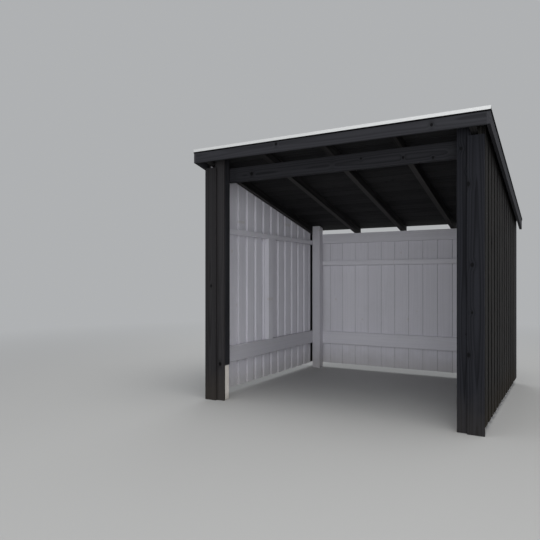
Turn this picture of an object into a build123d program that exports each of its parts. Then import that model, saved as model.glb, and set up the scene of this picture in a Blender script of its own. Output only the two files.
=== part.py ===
"""Timber bicycle shelter with a single-pitch roof, open at the front.

Millimetres, +Z up. X runs along the open front, Y runs from the front to the back.
Every depth below is measured from the front plane, which is the face of the front
cover boards. The origin is on the ground under the middle of the roof.
"""
import os
from math import cos, radians, sin, tan

from build123d import *

# Overall room and roof
bay_width = 1880.0
bay_depth = 2025.0
head_height = 1988.0
roof_pitch = 12.3
front_overhang = 117.0
rear_overhang = 18.0
verge_overhang = 24.0

# Front posts, their cast feet, cover boards and corner trims
post_width = 90.0
front_post_depth = 70.0
foot_height = 295.0
foot_inset = 4.0
foot_chamfer = 6.0
cover_thickness = 18.0
trim_width = 110.0
trim_thickness = 22.0
trim_drop = 21.0

# Rear posts
rear_post_depth = 88.0

# Header behind the front posts
header_thickness = 45.0
header_height = 120.0

# Rails and studs
rail_thickness = 45.0
side_upper_rail_drop = 74.5
side_upper_rail_height = 45.0
side_lower_rail_level = 288.0
side_lower_rail_height = 138.0
stud_setback = 912.0
stud_width = 88.0
back_top_rail_height = 108.0
back_middle_rail_drop = 201.5
back_middle_rail_height = 52.0
back_lower_rail_level = 281.0
back_lower_rail_height = 138.0

# Cladding: two staggered layers at the sides, one jointed layer at the back
board_thickness = 22.0
side_board_width = 98.0
side_board_pitch = 152.5
left_first_board = 81.5
right_first_board = 46.5
rear_gap = 51.0
corner_board_width = 138.0
ground_clearance = 50.0
back_board_pitch = 152.9
back_first_board = 80.8
back_head_gap = 3.0

# Joint between boards that interlock
joint_gap = 1.0
joint_play = 0.3
tongue_thickness = 6.0
tongue_length = 6.0
joint_bevel = 2.5

# Roof
rafter_count = 5
rafter_width = 45.0
rafter_depth = 70.0
deck_thickness = 16.0
deck_board_pitch = 121.0
edge_board_width = 98.0
edge_board_thickness = 22.0
felt_thickness = 4.0
felt_lip = 9.0
flashing_gauge = 1.2
flashing_face = 23.0
flashing_rise = 10.0
flashing_slope_run = 45.0
flashing_flange = 40.0

# Places worked out from the sizes above
fall = tan(radians(roof_pitch))
plumb = 1.0 / cos(radians(roof_pitch))
post_inner = bay_width / 2
post_outer = post_inner + post_width
rail_outer = post_outer + rail_thickness
inner_layer_outer = rail_outer + board_thickness
wall_outer = inner_layer_outer + board_thickness
verge_inner = wall_outer + verge_overhang
verge_outer = verge_inner + edge_board_thickness
felt_reach = verge_outer + felt_thickness

post_back = cover_thickness + front_post_depth
header_back = post_back + header_thickness
back_rail_back = bay_depth + rail_thickness
wall_back = back_rail_back + board_thickness
roof_front = -front_overhang
fascia_back = roof_front + edge_board_thickness
roof_rear = wall_back + rear_overhang
felt_rear = roof_rear + felt_thickness
flashing_front = roof_front - flashing_gauge
middle_depth = (flashing_front + felt_rear) / 2


def rafter_line(depth):
    """Height of the rafters' lower face at a depth."""
    return head_height - fall * depth


def deck_line(depth):
    """Height of the deck's lower face at a depth."""
    return rafter_line(depth) + rafter_depth * plumb


def roof_line(depth):
    """Height of the deck's upper face at a depth."""
    return deck_line(depth) + deck_thickness * plumb


def felt_line(depth):
    """Height of the felt's upper face at a depth."""
    return roof_line(depth) + felt_thickness * plumb


header_top = rafter_line(post_back)
back_rail_top = rafter_line(bay_depth)
side_upper_rail_level = back_rail_top - side_upper_rail_drop - side_upper_rail_height
back_middle_rail_top = back_rail_top - back_top_rail_height - back_middle_rail_drop


def block(x_range, y_range, z_range):
    """A square-cut timber between two places on each axis."""
    size = [high - low for low, high in (x_range, y_range, z_range)]
    timber = Box(*size, align=(Align.MIN, Align.MIN, Align.MIN))
    return Pos(x_range[0], y_range[0] - middle_depth, z_range[0]) * timber


def side_profile(points, x_range):
    """A piece whose outline is drawn in depth and height, and extruded along X."""
    corners = [(0, depth - middle_depth, height) for depth, height in points]
    outline = make_face(Polyline(*corners, close=True))
    piece = extrude(outline, amount=x_range[1] - x_range[0], dir=(1, 0, 0))
    return Pos(x_range[0], 0, 0) * piece


def under_roof(x_range, y_range, bottom, top_line):
    """A timber with a level foot whose top is cut to a sloping line."""
    front, back = y_range
    points = [(front, bottom), (back, bottom), (back, top_line(back)), (front, top_line(front))]
    return side_profile(points, x_range)


def mirrored(x_range, side):
    """The same X range on the left (-1) or the right (+1) side."""
    return tuple(sorted(side * x for x in x_range))


def board_places(first, stop, pitch, width):
    """Edges of the boards in a row, with the last one ripped to fit."""
    places = []
    edge = first
    while edge < stop - joint_bevel:
        places.append((edge, min(edge + width, stop)))
        edge += pitch
    return places


def interlocking_section(start, stop, thickness, has_groove, has_tongue):
    """Outline of a board with a tongue on its far edge and a groove on its near edge.

    The first coordinate runs across the row, the second from the bevelled face inwards.
    """
    low = (thickness - tongue_thickness) / 2
    high = low + tongue_thickness
    slot = tongue_length + joint_play
    points = [(start + joint_bevel, 0), (stop - joint_bevel, 0), (stop, joint_bevel)]
    if has_tongue:
        tip = stop + tongue_length
        points += [(stop, low), (tip, low), (tip, high), (stop, high)]
    points += [(stop, thickness), (start, thickness)]
    if has_groove:
        mouth = (low - joint_play, high + joint_play)
        points += [(start, mouth[1]), (start + slot, mouth[1])]
        points += [(start + slot, mouth[0]), (start, mouth[0])]
    points += [(start, joint_bevel)]
    return points


def interlocking_row(first_seam, start, stop, pitch, thickness):
    """Outlines of a full row of boards between two ends, with a seam at first_seam."""
    seams = [start]
    seam = first_seam
    while seam < stop - 2 * tongue_length:
        seams.append(seam)
        seam += pitch
    seams.append(stop)
    sections = []
    for index in range(len(seams) - 1):
        last = index == len(seams) - 2
        edge = seams[index + 1] - (0 if last else joint_gap)
        sections.append(interlocking_section(seams[index], edge, thickness, index > 0, not last))
    return sections


def front_post(side):
    """Timber post on its cast foot, its top cut to the slope under the deck."""
    across = mirrored((post_inner, post_outer), side)
    return under_roof(across, (cover_thickness, post_back), foot_height, deck_line)


def post_foot(side):
    """Cast foot under a front post, a little smaller than the timber, with a chamfered rim."""
    across = mirrored((post_inner + foot_inset, post_outer - foot_inset), side)
    along = (cover_thickness, post_back - foot_inset)
    foot = block(across, along, (0, foot_height))
    rim = foot.edges().group_by(Axis.Z)[-1]
    return chamfer(rim, foot_chamfer)


def post_cover(side):
    """Cover board on the face of a front post, from the ground to the deck."""
    across = mirrored((post_inner, post_outer), side)
    return under_roof(across, (0, cover_thickness), 0, deck_line)


def front_trim(side):
    """Corner trim over the cover board's outer edge and the ends of both cladding layers."""
    across = mirrored((wall_outer - trim_width, wall_outer), side)
    return block(across, (-trim_thickness, 0), (0, head_height - trim_drop))


def rear_post(side):
    """Rear corner post, standing on the ground, its top cut to the slope."""
    across = mirrored((post_inner, post_outer), side)
    return under_roof(across, (bay_depth - rear_post_depth, bay_depth), 0, deck_line)


def header_beam():
    """Header bolted to the backs of the front posts, which carries the rafters."""
    across = (-rail_outer, rail_outer)
    return block(across, (post_back, header_back), (header_top - header_height, header_top))


def rafter(index):
    """Rafter with a level seat cut over the header and another over the back rail."""
    spacing = (post_outer + rail_outer) / (rafter_count - 1)
    centre = -(post_outer + rail_outer) / 2 + index * spacing
    across = (centre - rafter_width / 2, centre + rafter_width / 2)
    points = [
        (fascia_back, rafter_line(fascia_back)),
        (post_back, header_top),
        (header_back, header_top),
        (header_back, rafter_line(header_back)),
        (bay_depth, back_rail_top),
        (back_rail_back, back_rail_top),
        (back_rail_back, rafter_line(back_rail_back)),
        (roof_rear, rafter_line(roof_rear)),
        (roof_rear, deck_line(roof_rear)),
        (fascia_back, deck_line(fascia_back)),
    ]
    return side_profile(points, across)


def side_rail(side, level, height):
    """Horizontal rail on the outer faces of the two posts on one side."""
    across = mirrored((post_outer, rail_outer), side)
    return block(across, (0, bay_depth), (level, level + height))


def side_stud(side):
    """Short stud between the two side rails, at about half depth."""
    across = mirrored((post_outer, rail_outer), side)
    foot = side_lower_rail_level + side_lower_rail_height
    return block(across, (stud_setback, stud_setback + stud_width), (foot, side_upper_rail_level))


def first_board(side):
    """Width of a side's first inner board. The two sides don't start alike."""
    return left_first_board if side < 0 else right_first_board


def side_inner_boards(side):
    """Inner layer of upright boards, with open gaps that the outer layer covers.

    The last one is ripped to fit, and is at least as wide as a board is thick.
    """
    across = mirrored((rail_outer, inner_layer_outer), side)
    stop = bay_depth - rear_gap
    second = first_board(side) + side_board_pitch - side_board_width
    places = [(0, first_board(side))]
    places += board_places(second, stop, side_board_pitch, side_board_width)
    places[-1] = (min(places[-1][0], stop - board_thickness), stop)
    return [under_roof(across, place, ground_clearance, deck_line) for place in places]


def side_outer_boards(side):
    """Outer layer of upright boards, each over a gap of the inner layer."""
    across = mirrored((inner_layer_outer, wall_outer), side)
    lap = side_board_width - side_board_pitch / 2
    stop = wall_back - corner_board_width - joint_gap
    places = board_places(first_board(side) - lap, stop, side_board_pitch, side_board_width)
    return [under_roof(across, place, ground_clearance, deck_line) for place in places]


def rear_corner_board(side):
    """Wide board that closes the rear corner behind the last inner board."""
    across = mirrored((inner_layer_outer, wall_outer), side)
    along = (wall_back - corner_board_width, wall_back)
    return under_roof(across, along, ground_clearance, deck_line)


def back_rail(bottom, top):
    """Horizontal rail across the backs of the rear posts."""
    return block((-rail_outer, rail_outer), (bay_depth, back_rail_back), (bottom, top))


def back_boards():
    """Flush upright boards with tongues and grooves, nailed behind the back rails."""
    first_seam = back_first_board - inner_layer_outer
    top = rafter_line(wall_back) - back_head_gap
    boards = []
    row = interlocking_row(
        first_seam, -inner_layer_outer, inner_layer_outer, back_board_pitch, board_thickness
    )
    for section in row:
        depth = back_rail_back - middle_depth
        corners = [(x, depth + inward, ground_clearance) for x, inward in section]
        outline = make_face(Polyline(*corners, close=True))
        boards.append(extrude(outline, amount=top - ground_clearance, dir=(0, 0, 1)))
    return boards


def roof_deck():
    """Deck boards with tongues and grooves, laid across the rafters down the slope."""
    slope_length = (roof_rear - fascia_back) * plumb
    row = interlocking_row(deck_board_pitch, 0, slope_length, deck_board_pitch, deck_thickness)
    run, rise = cos(radians(roof_pitch)), sin(radians(roof_pitch))
    square_end = roof_rear - fascia_back
    boards = []
    for index, section in enumerate(row):
        points = []
        for along, up in section:
            depth = fascia_back + along * run + up * rise
            height = deck_line(fascia_back) - along * rise + up * run
            points.append((depth, height))
        board = side_profile(points, (-verge_inner, verge_inner))
        if index in (0, len(row) - 1):
            window = block(
                (-verge_inner, verge_inner),
                (fascia_back, fascia_back + square_end),
                (0, head_height + front_overhang + rafter_depth + 2 * deck_thickness),
            )
            board = board & window
        boards.append(board)
    return boards


def roof_felt():
    """Felt over deck, fascia and barge boards, turned down at the verges and the eaves."""
    top = [(roof_front, roof_line(roof_front)), (felt_rear, roof_line(felt_rear))]
    top += [(felt_rear, felt_line(felt_rear)), (roof_front, felt_line(roof_front))]
    felt = side_profile(top, (-felt_reach, felt_reach))
    verge = [(roof_front, roof_line(roof_front) - felt_lip)]
    verge += [(felt_rear, roof_line(felt_rear) - felt_lip)]
    verge += [(felt_rear, roof_line(felt_rear)), (roof_front, roof_line(roof_front))]
    for side in (-1, 1):
        felt += side_profile(verge, mirrored((verge_outer, felt_reach), side))
    eaves = [(roof_rear, roof_line(roof_rear) - felt_lip), (felt_rear, roof_line(felt_rear) - felt_lip)]
    eaves += [(felt_rear, roof_line(felt_rear)), (roof_rear, roof_line(roof_rear))]
    felt += side_profile(eaves, (-felt_reach, felt_reach))
    return felt


def front_fascia():
    """Board across the rafters' front ends, between the barge boards, its top bevelled."""
    bottom = roof_line(roof_front) - edge_board_width * plumb
    return under_roof((-verge_inner, verge_inner), (roof_front, fascia_back), bottom, roof_line)


def barge_board(side):
    """Board up the slope at one side, fixed to the ends of the deck boards."""
    across = mirrored((verge_inner, verge_outer), side)
    drop = edge_board_width * plumb
    points = [(roof_front, roof_line(roof_front) - drop), (roof_rear, roof_line(roof_rear) - drop)]
    points += [(roof_rear, roof_line(roof_rear)), (roof_front, roof_line(roof_front))]
    return side_profile(points, across)


def front_flashing():
    """Bent sheet strip: a face down the fascia, a raised nose and a flange on the felt."""
    gauge = flashing_gauge
    nose = felt_line(roof_front) + flashing_rise
    foot = nose - flashing_face
    ramp_end = roof_front + flashing_slope_run
    flange_end = ramp_end + flashing_flange
    points = [
        (roof_front - gauge, foot),
        (roof_front, foot),
        (roof_front, nose - gauge),
        (ramp_end, felt_line(ramp_end)),
        (flange_end, felt_line(flange_end)),
        (flange_end, felt_line(flange_end) + gauge * plumb),
        (ramp_end, felt_line(ramp_end) + gauge * plumb),
        (roof_front, nose),
        (roof_front - gauge, nose),
    ]
    return side_profile(points, (-felt_reach, felt_reach))


def build():
    """All nodes of the shelter, by name."""
    nodes = {}
    for name, side in (("left", -1), ("right", 1)):
        nodes[f"front_post_{name}"] = front_post(side)
        nodes[f"post_foot_{name}"] = post_foot(side)
        nodes[f"post_cover_{name}"] = post_cover(side)
        nodes[f"front_trim_{name}"] = front_trim(side)
        nodes[f"rear_post_{name}"] = rear_post(side)
        nodes[f"{name}_upper_rail"] = side_rail(
            side, side_upper_rail_level, side_upper_rail_height
        )
        nodes[f"{name}_lower_rail"] = side_rail(
            side, side_lower_rail_level, side_lower_rail_height
        )
        nodes[f"{name}_stud"] = side_stud(side)
        nodes[f"{name}_inner_boards"] = side_inner_boards(side)
        nodes[f"{name}_outer_boards"] = side_outer_boards(side)
        nodes[f"rear_corner_board_{name}"] = rear_corner_board(side)
        nodes[f"barge_board_{name}"] = barge_board(side)
    nodes["header_beam"] = header_beam()
    for index in range(rafter_count):
        nodes[f"rafter_{index + 1}"] = rafter(index)
    nodes["back_top_rail"] = back_rail(back_rail_top - back_top_rail_height, back_rail_top)
    middle_bottom = back_middle_rail_top - back_middle_rail_height
    nodes["back_middle_rail"] = back_rail(middle_bottom, back_middle_rail_top)
    lower_top = back_lower_rail_level + back_lower_rail_height
    nodes["back_lower_rail"] = back_rail(back_lower_rail_level, lower_top)
    nodes["back_boards"] = back_boards()
    nodes["roof_deck"] = roof_deck()
    nodes["roof_felt"] = roof_felt()
    nodes["front_fascia"] = front_fascia()
    nodes["front_flashing"] = front_flashing()
    return nodes


os.makedirs("parts", exist_ok=True)
for node, shape in build().items():
    if isinstance(shape, list):
        shape = Compound(children=shape)
    export_step(shape, f"parts/{node}.step")
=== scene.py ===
"""Finish and fine detail of a small timber shelter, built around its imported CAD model.

Metres, +Z up, the open front faces -Y. Each section below is one piece or group of like
pieces, in the order in which the shelter is put together.
"""
from math import cos, pi, radians, sin, tan

import bpy
import numpy as np
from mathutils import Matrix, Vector


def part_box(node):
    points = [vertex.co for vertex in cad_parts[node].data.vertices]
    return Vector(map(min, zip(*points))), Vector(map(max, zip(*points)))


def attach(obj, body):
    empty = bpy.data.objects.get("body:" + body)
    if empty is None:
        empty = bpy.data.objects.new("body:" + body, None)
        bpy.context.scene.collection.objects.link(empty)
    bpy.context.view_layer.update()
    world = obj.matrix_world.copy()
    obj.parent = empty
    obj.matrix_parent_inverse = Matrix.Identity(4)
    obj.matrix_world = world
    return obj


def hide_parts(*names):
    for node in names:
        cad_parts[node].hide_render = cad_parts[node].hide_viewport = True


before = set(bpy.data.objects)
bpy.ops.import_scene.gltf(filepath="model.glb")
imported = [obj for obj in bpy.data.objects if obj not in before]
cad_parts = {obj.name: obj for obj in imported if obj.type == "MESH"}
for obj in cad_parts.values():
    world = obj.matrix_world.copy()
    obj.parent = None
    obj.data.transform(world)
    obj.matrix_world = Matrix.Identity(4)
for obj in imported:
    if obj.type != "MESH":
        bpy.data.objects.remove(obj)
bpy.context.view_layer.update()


# Cast feet
# Each front post stands on a cast concrete foot a little smaller than the timber, so that
# the end grain stays off the wet ground. The mould left its arrises soft and its skin pitted.

FOOT_ARRIS = 0.006
ARC_POINTS = 5
END_STEPS = 4
MOST_OF_EDGE = 0.45
END_SHARE = 0.6
PITH_ASIDE = 0.35
PITH_BELOW = (0.012, 0.05)
GRAIN_START = 40
UPRIGHT = ((1, 0, 0), (0, 1, 0), (0, 0, 1))

random = np.random.default_rng(11)


def filleted(corners, radius):
    """Closed outline with rounded corners.

    Each corner is replaced by a parabola that leaves one edge and meets the next tangentially:
    start (1-t)^2 + corner 2t(1-t) + finish t^2. Returns the points, and for each how deep it
    lies in its rounding: 0 on the flats, 1 at the middle of the corner.
    """
    corners = np.asarray(corners, float)
    x, y = corners.T
    if np.sum(x * np.roll(y, -1) - np.roll(x, -1) * y) < 0:
        corners = corners[::-1]
    before = np.roll(corners, 1, axis=0) - corners
    after = np.roll(corners, -1, axis=0) - corners
    before_length = np.linalg.norm(before, axis=1, keepdims=True)
    after_length = np.linalg.norm(after, axis=1, keepdims=True)
    reach = np.minimum(radius, MOST_OF_EDGE * np.minimum(before_length, after_length))
    start = corners + before / before_length * reach
    finish = corners + after / after_length * reach
    t = np.linspace(0, 1, ARC_POINTS)[None, :, None]
    middle = corners[:, None] * 2 * t * (1 - t)
    points = start[:, None] * (1 - t) ** 2 + middle + finish[:, None] * t**2
    depth = np.broadcast_to(np.sin(pi * t[..., 0]), points.shape[:2])
    return points.reshape(-1, 2), depth.reshape(-1)


def rectangle(low, high):
    """Corners of a rectangle between two (width, thickness) points."""
    return [(low[0], low[1]), (high[0], low[1]), (high[0], high[1]), (low[0], high[1])]


def ring_quads(ring_count, ring_size):
    """Corner numbers of the faces between rings of points, as (ring, place on it, corner)."""
    ring = np.arange(ring_count - 1)[:, None] * ring_size
    here = np.arange(ring_size)[None]
    there = (here + 1) % ring_size
    return np.stack([ring + here, ring + there, ring + ring_size + there, ring + ring_size + here], -1)


def carried(section, axes, start, stop, arris, end_round=None, stations=(), bow=0.0):
    """A solid whose section is carried along an axis, with every edge rounded.

    The section's two coordinates run along axes[0] and axes[1], and the piece along axes[2].
    start and stop are (constant, width slope, thickness slope): the end plane's distance
    along the axis is linear in the section's coordinates, which makes slanted cuts. Near an
    end the section shrinks by r (1 - sin a) while the distance grows by r (1 - cos a). A bow
    moves the middle sideways by a half sine wave, as a board that has dried unevenly does.
    The grain is the distance along the piece and the place across it from the pith.
    """
    outline, depth = filleted(section, arris)
    if end_round is None:
        end_round = END_SHARE * arris
    centre = (outline.max(0) + outline.min(0)) / 2
    half = (outline.max(0) - outline.min(0)) / 2
    angle = np.linspace(0, pi / 2, END_STEPS)
    inner = np.asarray(stations, float)
    shrink = np.concatenate([1 - np.sin(angle), 0 * inner, (1 - np.sin(angle))[::-1]])
    step = np.concatenate([1 - np.cos(angle), 0 * inner, (np.cos(angle) - 1)[::-1]])
    share = np.concatenate([0 * angle, inner, 0 * angle + 1])
    rings = centre + (outline - centre)[None] * (1 - shrink[:, None] * end_round / half)[:, None, :]
    first = start[0] + rings @ np.asarray(start[1:])
    last = stop[0] + rings @ np.asarray(stop[1:])
    along = first + (last - first) * share[:, None] + step[:, None] * end_round
    rings = rings + np.sin(pi * share)[:, None, None] * bow * random.uniform(-1, 1, 2)
    axes = np.asarray(axes, float)
    points = rings[..., :1] * axes[0] + rings[..., 1:] * axes[1] + along[..., None] * axes[2]

    ring_count, ring_size = points.shape[:2]
    rounded = (np.arange(ring_size)[None] % ARC_POINTS) < ARC_POINTS - 1
    end_band = (np.diff(share) == 0)[:, None]
    cap = np.arange(ring_size)

    thin = int(half[1] < half[0])
    pith = centre + random.uniform(-PITH_ASIDE, PITH_ASIDE, 2) * half
    pith[thin] += random.choice([-1, 1]) * (half[thin] + random.uniform(*PITH_BELOW))
    lengthwise = along + random.uniform(0, GRAIN_START)
    end_wear = np.concatenate([np.sin(2 * angle), 0 * inner, np.sin(2 * angle)[::-1]])
    return {
        "points": points.reshape(-1, 3),
        "quads": ring_quads(ring_count, ring_size).reshape(-1, 4),
        "smooth": (rounded | end_band).reshape(-1),
        "caps": [cap[::-1], cap + (ring_count - 1) * ring_size],
        "grain": np.concatenate([lengthwise[..., None], rings - pith], -1).reshape(-1, 3),
        "arris": np.maximum(depth[None], end_wear[:, None]).reshape(-1),
        "tone": np.full(ring_count * ring_size, random.uniform()),
    }


def straight(node_name, axes, arris, stop=None, end_round=None):
    """A piece that fills a CAD box along given axes. stop is its far end where cut aslant."""
    low, high = (np.array(corner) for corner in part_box(node_name))
    across = [int(np.argmax(np.abs(axis))) for axis in axes]
    section = rectangle(low[across[:2]], high[across[:2]])
    stop = stop or (high[across[2]], 0, 0)
    return carried(section, axes, (low[across[2]], 0, 0), stop, arris, end_round)


def put(name, solids, material, slot, *nodes, **face_values):
    """One piece made of several solids, with its material and the CAD nodes it stands for.

    The solids' values become attributes of its points. Each of face_values is a function of
    the faces' normals and centres, and becomes an attribute of the faces.
    """
    offsets = np.concatenate([[0], np.cumsum([len(solid["points"]) for solid in solids])])
    faces = []
    smooth = []
    for solid, offset in zip(solids, offsets):
        faces += (solid["quads"] + offset).tolist()
        faces += [(cap + offset).tolist() for cap in solid["caps"]]
        smooth += solid["smooth"].tolist() + [False] * len(solid["caps"])
    mesh = bpy.data.meshes.new(name)
    mesh.from_pydata(np.concatenate([solid["points"] for solid in solids]), [], faces)
    mesh.polygons.foreach_set("use_smooth", smooth)
    for label, kind, field in (
        ("grain", "FLOAT_VECTOR", "vector"), ("arris", "FLOAT", "value"), ("tone", "FLOAT", "value")
    ):
        values = np.concatenate([solid[label] for solid in solids]).astype(np.float32)
        mesh.attributes.new(label, kind, "POINT").data.foreach_set(field, values.ravel())
    normals, centres = np.empty((2, len(mesh.polygons) * 3))
    mesh.polygons.foreach_get("normal", normals)
    mesh.polygons.foreach_get("center", centres)
    for label, rule in face_values.items():
        values = rule(normals.reshape(-1, 3), centres.reshape(-1, 3)).astype(np.float32)
        mesh.attributes.new(label, "FLOAT", "FACE").data.foreach_set("value", values)
    piece = bpy.data.objects.new(name, mesh)
    bpy.context.scene.collection.objects.link(piece)
    piece.data.materials.append(material)
    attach(piece, "root")
    if nodes:
        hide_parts(*nodes)


class Value:
    """An output of a shader node. Arithmetic on it adds Math nodes to its tree."""

    def __init__(self, socket):
        self.socket = socket

    def __add__(self, other):
        return calc("ADD", self, other)

    def __sub__(self, other):
        return calc("SUBTRACT", self, other)

    def __rsub__(self, other):
        return calc("SUBTRACT", other, self)

    def __mul__(self, other):
        return calc("MULTIPLY", self, other)

    def __truediv__(self, other):
        return calc("DIVIDE", self, other)

    __radd__ = __add__


class Outputs:
    """A node's outputs, by name or number."""

    def __init__(self, sockets):
        self.sockets = sockets

    def __getitem__(self, key):
        return Value(self.sockets[key])


def tree_of(*values):
    """The node tree that the first Value among some values belongs to."""
    return next(value.socket.id_data for value in values if isinstance(value, Value))


def feed(socket, value):
    """Links a socket to a Value, or sets it to a constant."""
    if isinstance(value, Value):
        socket.id_data.links.new(value.socket, socket)
    else:
        socket.default_value = value


def node(tree, kind, sockets=(), **settings):
    """Adds a node with its settings, and feeds the named or numbered sockets."""
    made = tree.nodes.new(kind)
    for name, value in settings.items():
        setattr(made, name, value)
    for name, value in dict(sockets).items():
        feed(made.inputs[name], value)
    return Outputs(made.outputs)


def calc(operation, *values):
    """Result of a Math node."""
    return node(tree_of(*values), "ShaderNodeMath", enumerate(values), operation=operation)[0]


def vector_calc(operation, *values):
    """Result of a Vector Math node."""
    outputs = node(tree_of(*values), "ShaderNodeVectorMath", enumerate(values), operation=operation)
    return outputs["Value" if operation == "LENGTH" else "Vector"]


def ramp(value, low, high, to_low=0.0, to_high=1.0):
    """Smooth step of a value from one range to another."""
    sockets = {"Value": value, "From Min": low, "From Max": high, "To Min": to_low, "To Max": to_high}
    return node(tree_of(value), "ShaderNodeMapRange", sockets, interpolation_type="SMOOTHSTEP")[0]


def blended(share, first, second):
    """Colour between two colours."""
    sockets = {0: share}
    for number, color in ((6, first), (7, second)):
        sockets[number] = (*color, 1) if isinstance(color, tuple) else color
    return node(tree_of(share), "ShaderNodeMix", sockets, data_type="RGBA")[2]


def noise(vector, scale=1.0, detail=2.0, roughness=0.5, stretch=(1, 1, 1)):
    """Value of a noise texture on a stretched vector."""
    place = vector_calc("MULTIPLY", vector, stretch)
    sockets = {"Vector": place, "Scale": scale, "Detail": detail, "Roughness": roughness}
    return node(tree_of(vector), "ShaderNodeTexNoise", sockets)["Fac"]


def cells(vector, scale, dimensions="3D"):
    """Outputs of a Voronoi texture."""
    sockets = {"Vector": vector, "Scale": scale}
    return node(tree_of(vector), "ShaderNodeTexVoronoi", sockets, voronoi_dimensions=dimensions)


def parts(vector):
    """X, Y and Z of a vector."""
    return node(tree_of(vector), "ShaderNodeSeparateXYZ", {0: vector})


def group(name, inputs, outputs):
    """A shader node group with named sockets. Returns its tree, inputs and what they give."""
    tree = bpy.data.node_groups.new(name, "ShaderNodeTree")
    for direction, sockets in (("INPUT", inputs), ("OUTPUT", outputs)):
        for label, kind in sockets.items():
            tree.interface.new_socket(label, in_out=direction, socket_type=f"NodeSocket{kind}")
    entry = Outputs(tree.nodes.new("NodeGroupInput").outputs)
    return tree, entry, tree.nodes.new("NodeGroupOutput").inputs


def use(shared, **values):
    """Places a node group in the tree of its values, and returns its outputs."""
    made = tree_of(*values.values()).nodes.new("ShaderNodeGroup")
    made.node_tree = shared
    for key, value in values.items():
        feed(made.inputs[key.replace("_", " ")], value)
    return Outputs(made.outputs)


def object_place(tree):
    """Object coordinates."""
    return node(tree, "ShaderNodeTexCoord")["Object"]


def new_material(name, metallic=0.0, specular=0.5):
    """A material with its tree and its Principled shader."""
    material = bpy.data.materials.new(name)
    material.use_nodes = True
    shader = material.node_tree.nodes["Principled BSDF"]
    shader.inputs["Metallic"].default_value = metallic
    shader.inputs["Specular IOR Level"].default_value = specular
    return material, material.node_tree, shader


def finish(shader, color, roughness, height=None, depth=0.0, strength=0.0):
    """Feeds a Principled shader. The height is in parts of a relief depth in metres."""
    feed(shader.inputs["Base Color"], color)
    feed(shader.inputs["Roughness"], roughness)
    if height is not None:
        sockets = {"Height": height, "Distance": depth, "Strength": strength}
        feed(shader.inputs["Normal"], node(shader.id_data, "ShaderNodeBump", sockets)["Normal"])


def near_ground_group():
    """How near the ground a surface is, by its height above it with a ragged edge. The finishes use it
    for splashed dirt, and the stain and the paint also for painted light and shade near the ground.
    """
    tree, entry, leave = group("near ground", {"Place": "Vector", "Reach": "Float"}, {"Lowness": "Float"})
    edge = entry["Reach"] * (0.35 + noise(entry["Place"], 9.0, 4.0, 0.6))
    feed(leave["Lowness"], ramp(1.0 - parts(entry["Place"])["Z"] / edge, 0.0, 1.0))
    return tree


near_ground_mask = near_ground_group()


def cast_concrete():
    """Pale cement skin with cloudy tone, pin holes left by air, and splashed soil low down."""
    material, tree, shader = new_material("cast_concrete", specular=0.35)
    place = object_place(tree)
    cloud = noise(place, 14.0, 5.0, 0.6)
    sand = noise(place, 900.0, 3.0, 0.7)
    pit = ramp(cells(place, 95.0)["Distance"], 0.16, 0.05)
    near_ground = use(near_ground_mask, Place=place, Reach=0.10)["Lowness"]
    color = blended(cloud, (0.76, 0.712, 0.65), (0.95, 0.90, 0.835))
    color = blended(sand * 0.25, color, (0.30, 0.28, 0.26))
    color = blended(pit * 0.6, color, (0.16, 0.15, 0.14))
    color = blended(near_ground * 0.45, color, (0.24, 0.21, 0.17))
    roughness = ramp(cloud, 0.2, 0.8, 0.78, 0.92)
    finish(shader, color, roughness, sand * 0.3 - pit, depth=0.0012, strength=0.6)
    return material


concrete = cast_concrete()
for side in ("left", "right"):
    foot = straight(f"post_foot_{side}", UPRIGHT, FOOT_ARRIS, end_round=FOOT_ARRIS)
    put(f"cast_foot_{side}", [foot], concrete, "concrete", f"post_foot_{side}")


# Front posts
# Square-cut spruce posts, stained black on every face after they were cut. Their tops are
# sawn to the roof's slope and carry the deck; the header is bolted to their backs.

ROOF_PITCH = radians(12.3)
FALL = tan(ROOF_PITCH)
POST_ARRIS = 0.003
STAIN_GLOSS = 0.09
RING_WIDTH = 0.0125
KNOT_SPACING = 0.9
KNOT_ROWS = 0.14
KNOT_SIZE = 0.013
KNOT_LENGTHENED = 0.8
SWIRL_AT_KNOT = 0.012
TIMBER_VALUES = {
    "Place": "Vector", "Grain": "Vector", "Tone": "Float", "Arris": "Float",
    "Ring": "Float", "Streak": "Float", "Fibre": "Float", "Core": "Float", "Halo": "Float",
}
FINISH_VALUES = {"Color": "Color", "Roughness": "Float", "Height": "Float"}


def sloping_top(node_name):
    """End plane of an upright timber whose top is cut to the roof's slope."""
    low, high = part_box(node_name)
    return (high.z + FALL * low.y, 0, -FALL)


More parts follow.
